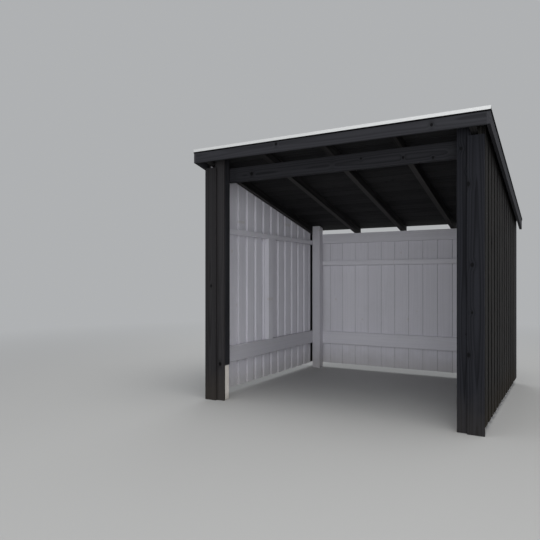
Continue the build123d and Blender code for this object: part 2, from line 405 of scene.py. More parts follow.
def figure_group():
    """Growth rings and fibres of spruce in a timber's own coordinates.

    The distance from the pith, bent by slow noise and by knots, divided by the ring width
    gives the ring; late wood is the dark end of each ring.
    """
    inputs = {"Grain": "Vector", "Ring Width": "Float", "Swirl": "Float"}
    outputs = {"Ring": "Float", "Streak": "Float", "Fibre": "Float"}
    tree, entry, leave = group("spruce figure", inputs, outputs)
    grain = entry["Grain"]
    across = parts(grain)
    radius = calc("SQRT", across["Z"] * across["Z"] + across["Y"] * across["Y"])
    radius += noise(grain, 1.0, 1.0, 0.5, (0.55, 3.0, 3.0)) * 0.075
    radius += noise(grain, 1.0, 2.0, 0.5, (3.0, 12.0, 12.0)) * 0.006
    radius += noise(grain, 1.0, 2.0, 0.5, (11.0, 90.0, 90.0)) * 0.0005
    phase = (radius + entry["Swirl"]) / entry["Ring Width"]
    part = calc("FRACT", phase)
    year = node(tree, "ShaderNodeTexNoise", {"W": phase, "Scale": 0.31}, noise_dimensions="1D")["Fac"]
    feed(leave["Ring"], ramp(part, 0.25, 0.88) * ramp(part, 1.0, 0.9) * year * 1.8)
    feed(leave["Streak"], noise(grain, 1.0, 2.0, 0.5, (0.6, 34.0, 34.0)))
    feed(leave["Fibre"], noise(grain, 1.0, 2.0, 0.6, (3.0, 420.0, 420.0)))
    return tree


def red(color):
    """Red part of a colour, which in a cell's own colour is a random number."""
    return node(tree_of(color), "ShaderNodeSeparateColor", {0: color})["Red"]


def scattered_knots_group():
    """Branch knots strewn at random over a timber, about one to each cell of a grid.

    A cell's own colour gives its knot's size, and some cells have none. The halo is the wood
    that flows round the knot.
    """
    inputs = {"Grain": "Vector", "Spacing": "Float", "Size": "Float"}
    tree, entry, leave = group("scattered knots", inputs, {"Core": "Float", "Halo": "Float"})
    grain = parts(entry["Grain"])
    sockets = {"X": grain["X"] / entry["Spacing"], "Y": grain["Y"] / KNOT_ROWS}
    place = node(tree, "ShaderNodeCombineXYZ", sockets)[0]
    grid = cells(place, 1.0, "2D")
    gap = parts(vector_calc("SUBTRACT", place, grid["Position"]))
    along = gap["X"] * entry["Spacing"] * KNOT_LENGTHENED
    aside = gap["Y"] * KNOT_ROWS
    size = calc("MAXIMUM", ramp(red(grid["Color"]), 0.25, 1.0) * entry["Size"], 0.0001)
    ratio = calc("SQRT", along * along + aside * aside) / size
    feed(leave["Core"], ramp(ratio, 1.1, 0.8))
    feed(leave["Halo"], calc("EXPONENT", ratio * ratio * -0.22) * (size / 0.014))
    return tree


def placed_knot_group():
    """One knot at a chosen place. Flatten leaves out the axis that runs into the timber."""
    inputs = {"Place": "Vector", "Centre": "Vector", "Flatten": "Vector", "Radius": "Float"}
    tree, entry, leave = group("placed knot", inputs, {"Core": "Float", "Halo": "Float"})
    gap = vector_calc("SUBTRACT", entry["Place"], entry["Centre"])
    gap = vector_calc("MULTIPLY", gap, entry["Flatten"])
    ratio = vector_calc("LENGTH", gap) / entry["Radius"]
    feed(leave["Core"], ramp(ratio, 1.15, 0.75))
    feed(leave["Halo"], calc("EXPONENT", ratio * ratio * -0.25))
    return tree


def stain_group():
    """Black stain on planed spruce: the late wood and the fibres show through, knots are darker and
    smoother, and the sharp edges are rubbed a little paler. Near the ground it turns warm brown and
    rougher, partly splashed dirt and partly painted warm light reflected from the ground."""
    inputs = TIMBER_VALUES | {"Paleness": "Float", "Figure": "Float"}
    tree, entry, leave = group("black stain", inputs, FINISH_VALUES)
    light = ramp(entry["Streak"], 0.36, 0.66, -0.12, 0.20) - entry["Ring"] * 0.6
    light = light * entry["Figure"] + entry["Fibre"] * 0.07 + entry["Tone"] * 0.34
    light = node(tree, "ShaderNodeClamp", {0: light + 0.30 + entry["Paleness"]})[0]
    ragged = noise(entry["Grain"], 1.0, 4.0, 0.7, (22.0, 160.0, 160.0))
    worn = entry["Arris"] * ramp(ragged, 0.48, 0.7)
    near_ground = use(near_ground_mask, Place=entry["Place"], Reach=0.40)["Lowness"]
    color = blended(light, (0.0080, 0.0080, 0.0095), (0.045, 0.045, 0.051))
    color = blended(entry["Halo"] * 0.35, color, (0.008, 0.008, 0.009))
    color = blended(entry["Core"], color, (0.0035, 0.0035, 0.004))
    color = blended(worn * 0.35, color, (0.11, 0.10, 0.09))
    # Warm brown near the ground: partly splashed dirt, partly painted warm light reflected from the
    # ground.
    feed(leave["Color"], blended(near_ground * 0.20, color, (0.090, 0.076, 0.058)))
    feed(leave["Roughness"], entry["Fibre"] * 0.22 + 0.58 - entry["Core"] * 0.04 + near_ground * 0.15)
    feed(leave["Height"], entry["Ring"] * 0.3 + entry["Fibre"] * 0.09 - entry["Core"] * 0.5)
    return tree


spruce_figure = figure_group()
scattered_knots = scattered_knots_group()
placed_knot = placed_knot_group()
black_stain = stain_group()


def attribute(tree, name, output="Fac"):
    """One of the mesh's own values."""
    return node(tree, "ShaderNodeAttribute", attribute_name=name)[output]


def timber_values(tree, knots=(), flatten=(1, 0, KNOT_LENGTHENED)):
    """Values that every timber finish starts from: its own coordinates, figure and knots."""
    place = object_place(tree)
    grain = attribute(tree, "grain", "Vector")
    strewn = use(scattered_knots, Grain=grain, Spacing=KNOT_SPACING, Size=KNOT_SIZE)
    core, halo = strewn["Core"], strewn["Halo"]
    for centre, radius in knots:
        chosen = use(placed_knot, Place=place, Centre=centre, Flatten=flatten, Radius=radius)
        core = calc("MAXIMUM", core, chosen["Core"])
        halo = calc("MAXIMUM", halo, chosen["Halo"])
    figure = use(spruce_figure, Grain=grain, Ring_Width=RING_WIDTH, Swirl=halo * SWIRL_AT_KNOT)
    values = {key: figure[key] for key in ("Ring", "Streak", "Fibre")}
    values.update(Place=place, Grain=grain, Core=core, Halo=halo)
    return dict(values, Tone=attribute(tree, "tone"), Arris=attribute(tree, "arris"))


def stained(
    name, knots=(), flatten=(1, 0, KNOT_LENGTHENED), paleness=0.0, figure=1.0,
    second_coat=0.0, tint=(1, 1, 1),
):
    """Material of a black timber. knots are (centre, radius) pairs at places that show. A painted shade
    darkens the faces that the mesh's darkening attribute names."""
    material, tree, shader = new_material(name, specular=STAIN_GLOSS)
    values = timber_values(tree, knots, flatten)
    # Painted shade on the faces that the darkening attribute names.
    if second_coat:
        paleness = attribute(tree, "coat") * -second_coat + paleness
    stain = use(black_stain, Paleness=paleness, Figure=figure, **values)
    color = vector_calc("MULTIPLY", stain["Color"], tint)
    finish(shader, color, stain["Roughness"], stain["Height"], depth=0.0006, strength=0.6)
    return material


stained_timber = stained("black_stained_spruce")
for side in ("left", "right"):
    name = f"front_post_{side}"
    post = straight(name, UPRIGHT, POST_ARRIS, sloping_top(name))
    put(f"post_{side}", [post], stained_timber, "black_stain", name)


# Rear posts
# The same timber, painted white before the back wall went on. They stand on the ground and
# their tops are cut to the slope just under the deck.


def paint_group():
    """White paint on spruce: nearly even, with the grain faint beneath it, yellowed knots and grey
    clouds at random. Near the ground it turns darker and browner, partly splashed dirt and partly
    painted shade."""
    tree, entry, leave = group("white paint", TIMBER_VALUES, FINISH_VALUES)
    shade = entry["Streak"] * 0.3 + entry["Ring"] * 0.4 + entry["Tone"] * 0.35
    cloud = noise(entry["Place"], 3.2, 4.0, 0.6)
    near_ground = use(near_ground_mask, Place=entry["Place"], Reach=0.34)["Lowness"]
    color = blended(shade, (0.80, 0.785, 0.835), (0.71, 0.697, 0.745))
    color = blended(entry["Core"] * 0.22, color, (0.52, 0.46, 0.36))
    color = blended(ramp(cloud, 0.45, 0.8, 0.0, 0.14), color, (0.52, 0.52, 0.52))
    # Darker and browner near the ground: partly splashed dirt, partly painted shade.
    feed(leave["Color"], blended(near_ground * 0.4, color, (0.36, 0.33, 0.28)))
    feed(leave["Roughness"], entry["Fibre"] * 0.12 + 0.42 + near_ground * 0.2)
    feed(leave["Height"], entry["Ring"] * 0.5 + entry["Fibre"] * 0.08 + entry["Core"] * 0.25)
    return tree


white_paint = paint_group()


def painted(name, whiteness):
    """Material of a timber that is white on every face."""
    material, tree, shader = new_material(name, specular=0.45)
    paint = use(white_paint, **timber_values(tree))
    color = vector_calc("MULTIPLY", paint["Color"], (whiteness, whiteness, whiteness))
    finish(shader, color, paint["Roughness"], paint["Height"], depth=0.0005, strength=0.6)
    return material


# The rear posts and lower side rails get the white paint darkened to 0.78 as painted shade; the upper
# rails, studs and back rails get it only to 0.97.
shaded_painted_timber = painted("white_painted_spruce_shaded", 0.78)
for side in ("left", "right"):
    name = f"rear_post_{side}"
    post = straight(name, UPRIGHT, POST_ARRIS, sloping_top(name))
    put(f"back_post_{side}", [post], shaded_painted_timber, "white_paint", name)


# Header beam
# One black-stained timber on edge behind the front posts. Two bolts at each post go right
# through both timbers; only the nuts and washers at the back of the header show.

HEADER_ARRIS = 0.003
CROSSWISE = ((0, 1, 0), (0, 0, 1), (1, 0, 0))
BACKWARDS = ((0, 0, 1), (1, 0, 0), (0, 1, 0))
HEADER_KNOTS = (
    ((-0.721, 0, 1.904), 0.013),
    ((0.237, 0, 1.924), 0.007),
    ((0.554, 0, 1.896), 0.009),
    ((0.765, 0, 1.872), 0.008),
)
# Each bolt's place: sideways from the post's middle, and up from the header's lower edge.
BOLT_PLACES = ((-0.020, 0.030), (0.020, 0.090))
# Radius, number of sides, thickness and arris of each part that shows.
WASHER = (0.019, 20, 0.003, 0.0006)
NUT = (0.0105, 6, 0.010, 0.0010)
STUD_END = (0.006, 14, 0.006, 0.0008)

header = straight("header_beam", CROSSWISE, HEADER_ARRIS)
# The header's stain is made a little paler, as painted light.
header_finish = stained("black_stained_header", HEADER_KNOTS, paleness=0.12, figure=0.45)
put("header", [header], header_finish, "black_stain", "header_beam")


def regular_outline(radius, sides):
    """Corners of a regular polygon about the origin."""
    angle = np.arange(sides) * 2 * pi / sides
    return np.stack([np.cos(angle), np.sin(angle)], -1) * radius


def galvanised_steel():
    """Zinc-dipped steel: grey, with faint spangles and duller patches."""
    material, tree, shader = new_material("galvanised_steel", metallic=0.9)
    place = object_place(tree)
    dull = noise(place, 120.0, 4.0, 0.6)
    color = blended(red(cells(place, 260.0)["Color"]), (0.42, 0.43, 0.44), (0.60, 0.61, 0.62))
    finish(shader, blended(dull, color, (0.33, 0.33, 0.33)), ramp(dull, 0.2, 0.8, 0.38, 0.62))
    return material


galvanised = galvanised_steel()
low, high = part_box("header_beam")
fixings = []
for side in ("left", "right"):
    post_low, post_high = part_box(f"front_post_{side}")
    middle = (post_low.x + post_high.x) / 2
    for shift, rise in BOLT_PLACES:
        back = high.y
        for radius, sides, thickness, arris in (WASHER, NUT, STUD_END):
            outline = regular_outline(radius, sides) + np.array([low.z + rise, middle + shift])
            fixings.append(carried(outline, BACKWARDS, (back, 0, 0), (back + thickness, 0, 0), arris))
            back += thickness
put("header_bolts", fixings, galvanised, "flashing_metal")


# Rafters
# Five black-stained rafters laid on edge down the slope. Their ends are cut plumb, and each
# has a level seat cut over the header and another over the rail on the back wall.

RAFTER_ARRIS = 0.002
SEAT_MARGIN = 0.0004
SEAT_EDGE = 0.0006
FACING = 0.5
BEARERS = ("header_beam", "back_top_rail")
# The rafters are paler and warmer than the deck, as painted light on their undersides; painted shade
# darkens their sides and front ends.
RAFTER_SHADE = {"paleness": 0.70, "figure": 0.6, "second_coat": 0.85, "tint": (1.05, 1.0, 0.88)}
DOWN_SLOPE = (
    (0, sin(ROOF_PITCH), cos(ROOF_PITCH)),
    (1, 0, 0),
    (0, cos(ROOF_PITCH), -sin(ROOF_PITCH)),
)


def cad_triangles(node_name):
    """Corner points of a CAD node's triangles, as (triangle, corner, axis)."""
    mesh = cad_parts[node_name].data
    points = np.empty(len(mesh.vertices) * 3)
    mesh.vertices.foreach_get("co", points)
    corners = np.empty(len(mesh.polygons) * 3, int)
    mesh.polygons.foreach_get("vertices", corners)
    return points.reshape(-1, 3)[corners].reshape(-1, 3, 3)


def plumb_ends(front, back):
    """End planes down the slope for cuts that are plumb at two depths.

    Distances down the slope and square to it are dot products with the two slope axes, so a
    plumb cut at a depth is a line: depth / cos(pitch) - height above the axis * tan(pitch).
    """
    return (front / cos(ROOF_PITCH), -FALL, 0), (back / cos(ROOF_PITCH), -FALL, 0)


def sloped(node_name, arris, stations=()):
    """A timber laid down the slope that fills a CAD node, with ends cut plumb."""
    points = cad_triangles(node_name).reshape(-1, 3)
    square = points @ np.array(DOWN_SLOPE[0])
    low, high = points.min(0), points.max(0)
    section = rectangle((square.min(), low[0]), (square.max(), high[0]))
    return carried(section, DOWN_SLOPE, *plumb_ends(low[1], high[1]), arris, stations=stations)


def seated(timber, bearer):
    """Cuts a level seat: inside the bearer's width the timber's lower edge rises to its top."""
    low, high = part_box(bearer)
    points = timber["points"]
    inside = (points[:, 1] > low.y - SEAT_MARGIN) & (points[:, 1] < high.y + SEAT_MARGIN)
    points[inside, 2] = np.maximum(points[inside, 2], high.z)


seat_edges = []
for bearer in BEARERS:
    low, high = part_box(bearer)
    seat_edges += [low.y - SEAT_EDGE, low.y, high.y, high.y + SEAT_EDGE]
low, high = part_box("rafter_1")
seat_stations = (np.array(seat_edges) - low.y) / (high.y - low.y)
header_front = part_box("header_beam")[0].y


def painted_shade_faces(normal, centre):
    """Faces darkened as painted shade: the sides, and the ends that show in front of the header."""
    return (centre[:, 1] < header_front) | (np.abs(normal[:, 0]) > FACING)


rafter_finish = stained("black_stained_rafters", **RAFTER_SHADE)
for index in range(1, 6):
    name = f"rafter_{index}"
    rafter = sloped(name, RAFTER_ARRIS, seat_stations)
    for bearer in BEARERS:
        seated(rafter, bearer)
    put(f"rafter_timber_{index}", [rafter], rafter_finish, "black_stain", name, coat=painted_shade_faces)


# Rails and studs
# White-painted rails on edge: two on each side with a short stud between them, and three
# across the backs of the rear posts. The cladding is nailed to their outer faces.

RAIL_ARRIS = 0.003

painted_rail = painted("white_painted_rails", 0.97)
for side in ("left", "right"):
    for level, rail_finish in (("upper", painted_rail), ("lower", shaded_painted_timber)):
        name = f"{side}_{level}_rail"
        rail = straight(name, BACKWARDS, RAIL_ARRIS)
        put(f"rail_{side}_{level}", [rail], rail_finish, "white_paint", name)
    stud = straight(f"{side}_stud", UPRIGHT, RAIL_ARRIS)
    put(f"stud_{side}", [stud], painted_rail, "white_paint", f"{side}_stud")
for level in ("top", "middle", "lower"):
    rail = straight(f"back_{level}_rail", CROSSWISE, RAIL_ARRIS)
    put(f"rail_back_{level}", [rail], painted_rail, "white_paint", f"back_{level}_rail")


# Side cladding
# Upright boards in two staggered layers: the inner ones are nailed to the rails with gaps
# between them, and the outer ones cover the gaps. White inside, black stain outside.

BOARD_ARRIS = 0.0025
BOARD_KNOTS = (((0, -0.676, 1.277), 0.013), ((0, 0.31, 0.74), 0.011), ((0, 0.62, 1.05), 0.012))
BOARD_SHAPE = {"stations": np.linspace(0.1, 0.9, 7), "bow": 0.0009}
BOARD_LAYERS = (("inner", FACING, "white_paint"), ("outer", -FACING, "black_stain"))
UNEVEN_FOOT = 0.002
LEAST_GAP = 0.0002


def board_places(node_name):
    """Start and stop of each board of a node along its depth.

    Each face covers a stretch of the depth. In order of their starts, a new board begins
    where a stretch starts beyond everything that the ones before it cover.
    """
    depths = cad_triangles(node_name)[..., 1]
    spans = np.stack([depths.min(1), depths.max(1)], 1)
    spans = spans[np.argsort(spans[:, 0])]
    covered = np.maximum.accumulate(spans[:, 1])
    breaks = np.flatnonzero(spans[1:, 0] > covered[:-1] + LEAST_GAP) + 1
    starts = spans[np.concatenate([[0], breaks]), 0]
    stops = covered[np.concatenate([breaks - 1, [-1]])]
    return np.stack([starts, stops], 1)


def two_tone(name, knots=(), paleness=-0.34, figure=0.8):
    """Material of a board that is white where its face attribute says so and black elsewhere, darker on
    the black faces named by its darkening attribute."""
    material, tree, shader = new_material(name, specular=0.12)
    values = timber_values(tree, knots, (0, 1, KNOT_LENGTHENED))
    paleness = attribute(tree, "coat") * -0.7 + paleness
    white = attribute(tree, "white")
    paint = use(white_paint, **values)
    stain = use(black_stain, Paleness=paleness, Figure=figure, **values)
    # The black faces are tinted brown.
    brown_tinted = vector_calc("MULTIPLY", stain["Color"], (1.06, 0.98, 0.80))
    mixed = {}
    for key in ("Roughness", "Height"):
        sockets = {0: white, 2: stain[key], 3: paint[key]}
        mixed[key] = node(tree, "ShaderNodeMix", sockets, data_type="FLOAT")[0]
    color = blended(white, brown_tinted, paint["Color"])
    finish(shader, color, mixed["Roughness"], mixed["Height"], depth=0.0006, strength=0.7)
    return material


board_finish = two_tone("two_tone_spruce", BOARD_KNOTS)
for side, outward in (("left", -1), ("right", 1)):
    for layer, limit, slot in BOARD_LAYERS:
        name = f"{side}_{layer}_boards"
        low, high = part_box(name)
        boards = []
        for front, back in board_places(name):
            section = rectangle((low.x, front), (high.x, back))
            start = (low.z + random.uniform(0, UNEVEN_FOOT), 0, 0)
            board = carried(section, UPRIGHT, start, sloping_top(name), BOARD_ARRIS, **BOARD_SHAPE)
            boards.append(board)

        def white_inside(normal, centre):
            """White on the faces towards the bay, but not on the front edge of the layer."""
            front_edge = (normal[:, 1] < -FACING) & (centre[:, 1] < low.y + BOARD_ARRIS)
            return (normal[:, 0] * outward < limit) & ~front_edge

        put(f"cladding_{side}_{layer}", boards, board_finish, slot, name, white=white_inside)
    name = f"rear_corner_board_{side}"
    board = straight(name, UPRIGHT, BOARD_ARRIS, sloping_top(name))
    put(f"corner_board_{side}", [board], stained_timber, "black_stain", name)


# Nails
# Galvanised nails with low domed heads, driven through every outer board into the rails and
# later stained over with the boards, so that the zinc only shows where the stain has worn.

NAIL_RADIUS = 0.0032
NAIL_RISE = 0.0011
NAIL_SIDES = 8
NAIL_RINGS = 4
NAIL_SINK = 0.0003
NAIL_INSET = 0.022
NAIL_WANDER = 0.0025
NAIL_SPREADS = {"upper": 0.010, "lower": 0.042}


def heads(places, axes, radius, rise):
    """Low domes, one at each place. A head is a quarter ellipse turned about its own axis:
    it reaches radius cos a sideways and rise sin a upwards, with a from 0 to 75 degrees."""
    places = np.asarray(places, float)
    axes = np.asarray(axes, float)
    angle = np.linspace(0, radians(75), NAIL_RINGS)[:, None, None]
    turn = (np.arange(NAIL_SIDES) * 2 * pi / NAIL_SIDES)[None, :, None]
    sideways = np.cos(turn) * axes[0] + np.sin(turn) * axes[1]
    dome = radius * np.cos(angle) * sideways + (rise * np.sin(angle) - NAIL_SINK) * axes[2]
    points = (places[:, None, None] + dome).reshape(-1, 3)
    size = NAIL_RINGS * NAIL_SIDES
    first = np.arange(len(places))[:, None] * size
    quads = ring_quads(NAIL_RINGS, NAIL_SIDES)[None] + first[:, :, None, None]
    bottom = first + np.arange(NAIL_SIDES)
    wear = np.broadcast_to(np.sin(angle)[:, :, 0], (len(places), NAIL_RINGS, NAIL_SIDES))
    return {
        "points": points,
        "quads": quads.reshape(-1, 4),
        "smooth": np.ones(quads[..., 0].size, bool),
        "caps": list(bottom[:, ::-1]) + list(bottom + size - NAIL_SIDES),
        "grain": points,
        "arris": wear.ravel(),
        "tone": np.repeat(random.uniform(size=len(places)), size),
    }


def driven(marks, axis, face):
    """Places of nails driven by hand into a face, each a little off its mark along and up."""
    marks = np.array(marks) + random.uniform(-NAIL_WANDER, NAIL_WANDER, (len(marks), 2))
    return np.insert(marks, axis, face, axis=1)


def stained_zinc():
    """Zinc with black stain over it, rubbed bright on the crowns of some heads."""
    material, tree, shader = new_material("stained_zinc", metallic=0.3, specular=0.3)
    patch = noise(object_place(tree), 420.0, 3.0, 0.6)
    bare = attribute(tree, "arris") * ramp(attribute(tree, "tone"), 0.25, 0.9) * ramp(patch, 0.4, 0.6)
    color = blended(bare, (0.022, 0.022, 0.025), (0.34, 0.34, 0.35))
    finish(shader, color, ramp(patch, 0.3, 0.7, 0.42, 0.65))
    return material


zinc = stained_zinc()
for side, outward in (("left", -1), ("right", 1)):
    low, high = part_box(f"{side}_outer_boards")
    corner_low, corner_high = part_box(f"rear_corner_board_{side}")
    across = list(board_places(f"{side}_outer_boards").mean(1))
    across += [corner_low.y + NAIL_INSET, corner_high.y - NAIL_INSET]
    marks = []
    for level, spread in NAIL_SPREADS.items():
        rail_low, rail_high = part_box(f"{side}_{level}_rail")
        middle = (rail_low.z + rail_high.z) / 2
        marks += [(centre, middle + shift) for centre in across for shift in (-spread, spread)]
    places = driven(marks, 0, high.x if outward > 0 else low.x)
    nails = heads(places, ((0, outward, 0), (0, 0, 1), (outward, 0, 0)), NAIL_RADIUS, NAIL_RISE)
    put(f"nails_{side}", [nails], zinc, "black_stain")


# Back wall
# Flush upright boards with tongues and grooves, nailed to the outer faces of the back rails.
# White inside and black outside, with the edges of each face lightly bevelled.

TONGUE = 0.006
PLAY = 0.0003
JOINT_BEVEL = 0.0025
BACK_BEVEL = 0.005
BEVEL_FACING = 0.3
JOINT_ARRIS = 0.0008
FLATNESS = 0.0001


def inner_faces(node_name):
    """Start and stop along X of each board's own face, read on the node's nearest plane."""
    triangles = cad_triangles(node_name)
    depth = triangles[..., 1]
    across = triangles[depth.max(1) < depth.min() + FLATNESS][..., 0]
    return np.unique(np.round(np.stack([across.min(1), across.max(1)], 1), 5), axis=0)


def tongued(start, stop, face, thickness, has_groove, has_tongue, back_bevel=0.0):
    """Outline of a board with a groove on its near edge and a tongue on its far edge."""
    back = face + thickness
    near = face + (thickness - TONGUE) / 2
    far = near + TONGUE
    points = [(start + JOINT_BEVEL, face), (stop - JOINT_BEVEL, face), (stop, face + JOINT_BEVEL)]
    if has_tongue:
        points += [(stop, near), (stop + TONGUE, near), (stop + TONGUE, far), (stop, far)]
    if back_bevel:
        points += [(stop, back - back_bevel), (stop - back_bevel, back)]
        points += [(start + back_bevel, back), (start, back - back_bevel)]
    else:
        points += [(stop, back), (start, back)]
    if has_groove:
        depth = start + TONGUE + PLAY
        points += [(start, far + PLAY), (depth, far + PLAY), (depth, near - PLAY), (start, near - PLAY)]
    return points + [(start, face + JOINT_BEVEL)]


low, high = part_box("back_boards")
board_ends = inner_faces("back_boards") + np.array([-JOINT_BEVEL, JOINT_BEVEL])
boards = []
for index, (start, stop) in enumerate(board_ends):
    joints = index > 0, index < len(board_ends) - 1
    outline = tongued(start, stop, low.y, high.y - low.y, *joints, BACK_BEVEL)
    boards.append(carried(outline, UPRIGHT, (low.z, 0, 0), (high.z, 0, 0), JOINT_ARRIS))


def white_face(normal, centre):
    """White on the inner faces and their bevels; the joints and the outside are black."""
    return centre[:, 1] < low.y + JOINT_BEVEL


def joint_face(normal, centre):
    """The bevels of the outer joints, where the stain gathered."""
    return (centre[:, 1] > high.y - BACK_BEVEL) & (np.abs(normal[:, 0]) > BEVEL_FACING)


back_finish = two_tone("two_tone_back_boards", paleness=0.05, figure=0.5)
put("back_wall", boards, back_finish, "white_paint", "back_boards", white=white_face, coat=joint_face)

marks = []
for level in ("top", "middle", "lower"):
    rail_low, rail_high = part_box(f"back_{level}_rail")
    middle = (rail_low.z + rail_high.z) / 2
    quarter = (rail_high.z - rail_low.z) / 4
    for start, stop in board_ends:
        for across in (start + NAIL_INSET, stop - NAIL_INSET):
            rise = quarter if across > (start + stop) / 2 else -quarter
            marks.append((across, middle + rise))
nails = heads(driven(marks, 1, high.y), ((-1, 0, 0), (0, 0, 1), (0, 1, 0)), NAIL_RADIUS, NAIL_RISE)
put("nails_back", [nails], zinc, "black_stain")


# Cover boards and corner trims
# A planed board covers each front post from the ground to the deck, and a wider trim over
# its outer edge hides the ends of the rails and of both layers of cladding.

TRIM_KNOTS = (((1.016, 0, 1.648), 0.014), ((1.019, 0, 0.524), 0.013), ((1.041, 0, 0.803), 0.008))
COVER_KNOTS = (((0.968, 0, 1.892), 0.010), ((-0.980, 0, 0.307), 0.014))
# The left post's cover and trim are made paler and warmer, as painted light; the right post's are made
# darker and cooler, as painted shade.
COVER_SHADES = {
    "left": {"paleness": 0.10, "figure": 0.38, "tint": (1.06, 1.0, 0.92)},
    "right": {"paleness": -0.32, "figure": 0.38, "tint": (0.97, 1.0, 1.08)},
}

for side, shade in COVER_SHADES.items():
    cover_finish = stained(f"black_stained_cover_{side}", COVER_KNOTS, **shade)
    trim_finish = stained(f"black_stained_trim_{side}", TRIM_KNOTS, **shade)
    name = f"post_cover_{side}"
    cover = straight(name, UPRIGHT, BOARD_ARRIS, sloping_top(name))
    put(f"cover_board_{side}", [cover], cover_finish, "black_stain", name)
    trim = straight(f"front_trim_{side}", UPRIGHT, BOARD_ARRIS)
    put(f"corner_trim_{side}", [trim], trim_finish, "black_stain", f"front_trim_{side}")


# Roof deck
# Tongued and grooved boards laid across the rafters and stained black underneath. The top
# is covered by the felt.

DECK_PITCH = 0.121
DECK_THICKNESS = 0.016
DECK_GAP = 0.001
DECK_KNOTS = (((0.256, -0.173, 0), 0.013), ((0.318, -0.082, 0), 0.007), ((0.262, 0.665, 0), 0.014))
# The deck's stain is made darker and a little warmer, as painted shade under the roof.
DECK_SHADE = {"paleness": -0.26, "figure": 0.3, "tint": (1.0, 0.98, 0.88)}
ACROSS_ROOF = (DOWN_SLOPE[2], DOWN_SLOPE[0], (1, 0, 0))

low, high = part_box("roof_deck")
deck_face = high.z * cos(ROOF_PITCH) + low.y * sin(ROOF_PITCH) - DECK_THICKNESS
slope_start = low.y * cos(ROOF_PITCH) - (high.z - DECK_THICKNESS / cos(ROOF_PITCH)) * sin(ROOF_PITCH)
slope_stop = slope_start + (high.y - low.y) / cos(ROOF_PITCH)
seams = np.append(np.arange(slope_start, slope_stop - 2 * TONGUE, DECK_PITCH), slope_stop)
boards = []
for index, (start, stop) in enumerate(zip(seams[:-1], seams[1:])):
    has_tongue = index < len(seams) - 2
    stop -= DECK_GAP * has_tongue
    outline = tongued(start, stop, deck_face, DECK_THICKNESS, index > 0, has_tongue)
    boards.append(carried(outline, ACROSS_ROOF, (low.x, 0, 0), (high.x, 0, 0), JOINT_ARRIS))
deck_finish = stained("black_stained_deck", DECK_KNOTS, (1, 1, 0), **DECK_SHADE)
put("deck", boards, deck_finish, "black_stain", "roof_deck")


# Fascia and barge boards
# Planed boards round the edge of the roof: the fascia across the rafters' front ends, its
# top bevelled to the slope, between two barge boards that run down the slope.

FASCIA_KNOTS = (((-0.375, 0, 2.063), 0.010), ((0.802, 0, 2.044), 0.010))
EDGE_ARRIS = 0.0014

low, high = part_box("front_fascia")
back_top = high.z - FALL * (high.y - low.y)
section = [(low.y, low.z), (high.y, low.z), (high.y, back_top), (low.y, high.z)]
fascia = carried(section, CROSSWISE, (low.x, 0, 0), (high.x, 0, 0), EDGE_ARRIS)
# The fascia's stain is made paler, as painted light.
fascia_finish = stained("black_stained_fascia", FASCIA_KNOTS, paleness=0.28, figure=0.5)
put("fascia", [fascia], fascia_finish, "black_stain", "front_fascia")


def underside(normal, centre):
    """The lower edges, made darker as painted shade."""
    return normal[:, 2] < -FACING


# The barges' stain is made much paler, as painted light on their outer faces, with painted shade on
# their undersides.
barge_finish = stained("black_stained_barges", paleness=0.75, figure=0.5, second_coat=0.85)
for side in ("left", "right"):
    name = f"barge_board_{side}"
    barge = sloped(name, EDGE_ARRIS)
    put(f"barge_{side}", [barge], barge_finish, "black_stain", name, coat=underside)


# Roofing felt
# Bitumen felt with a mineral face, in three strips down the slope. Each strip laps the one
# beside it, and the edges are turned down over the barge boards and the eaves.

FELT_THICKNESS = 0.004
FELT_LIP = 0.013
FELT_ARRIS = 0.0015
LAP_EDGES = (-0.39, 0.39)
LAP_STEP = 0.003
LAP_FLAT = 0.08
LAP_RUN_OUT = 0.13
LAP_STARTS = (0.095, 0.115)
LAP_STATIONS = (0.3, 0.6, 0.9)
FLASHING_FACE = 0.023
TUCK_SHOWS = 0.011
TUCK_ARRIS = 0.0004
TUCK_CLEAR = 0.0002
LIP_OVERLAP = 0.002

low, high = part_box("roof_felt")
felt_top = high.z * cos(ROOF_PITCH) + low.y * sin(ROOF_PITCH)
felt_under = felt_top - FELT_THICKNESS
lip_foot = felt_under - FELT_LIP * cos(ROOF_PITCH)
left_lap, right_lap = LAP_EDGES
outline = [
    (lip_foot, low.x), (lip_foot, low.x + FELT_THICKNESS), (felt_under, low.x + FELT_THICKNESS),
    (felt_under, high.x - FELT_THICKNESS), (lip_foot, high.x - FELT_THICKNESS), (lip_foot, high.x),
    (felt_top, high.x), (felt_top, right_lap), (felt_top + LAP_STEP, right_lap - LAP_STEP),
    (felt_top + LAP_STEP, right_lap - LAP_FLAT), (felt_top, right_lap - LAP_RUN_OUT),
    (felt_top, left_lap + LAP_RUN_OUT), (felt_top + LAP_STEP, left_lap + LAP_FLAT),
    (felt_top + LAP_STEP, left_lap + LAP_STEP), (felt_top, left_lap), (felt_top, low.x),
]
stations = np.array(LAP_STARTS + LAP_STATIONS) / (high.y - low.y)
felt = carried(outline, DOWN_SLOPE, *plumb_ends(low.y, high.y), FELT_ARRIS, stations=stations)
depth, height = felt["points"][:, 1], felt["points"][:, 2]
plane = high.z - FALL * (depth - low.y)
share = np.clip((depth - low.y - LAP_STARTS[0]) / (LAP_STARTS[1] - LAP_STARTS[0]), 0, 1)
felt["points"][:, 2] = np.where(height > plane, plane + (height - plane) * share, height)
flashing_low, flashing_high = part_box("front_flashing")
fascia_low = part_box("front_fascia")[0]
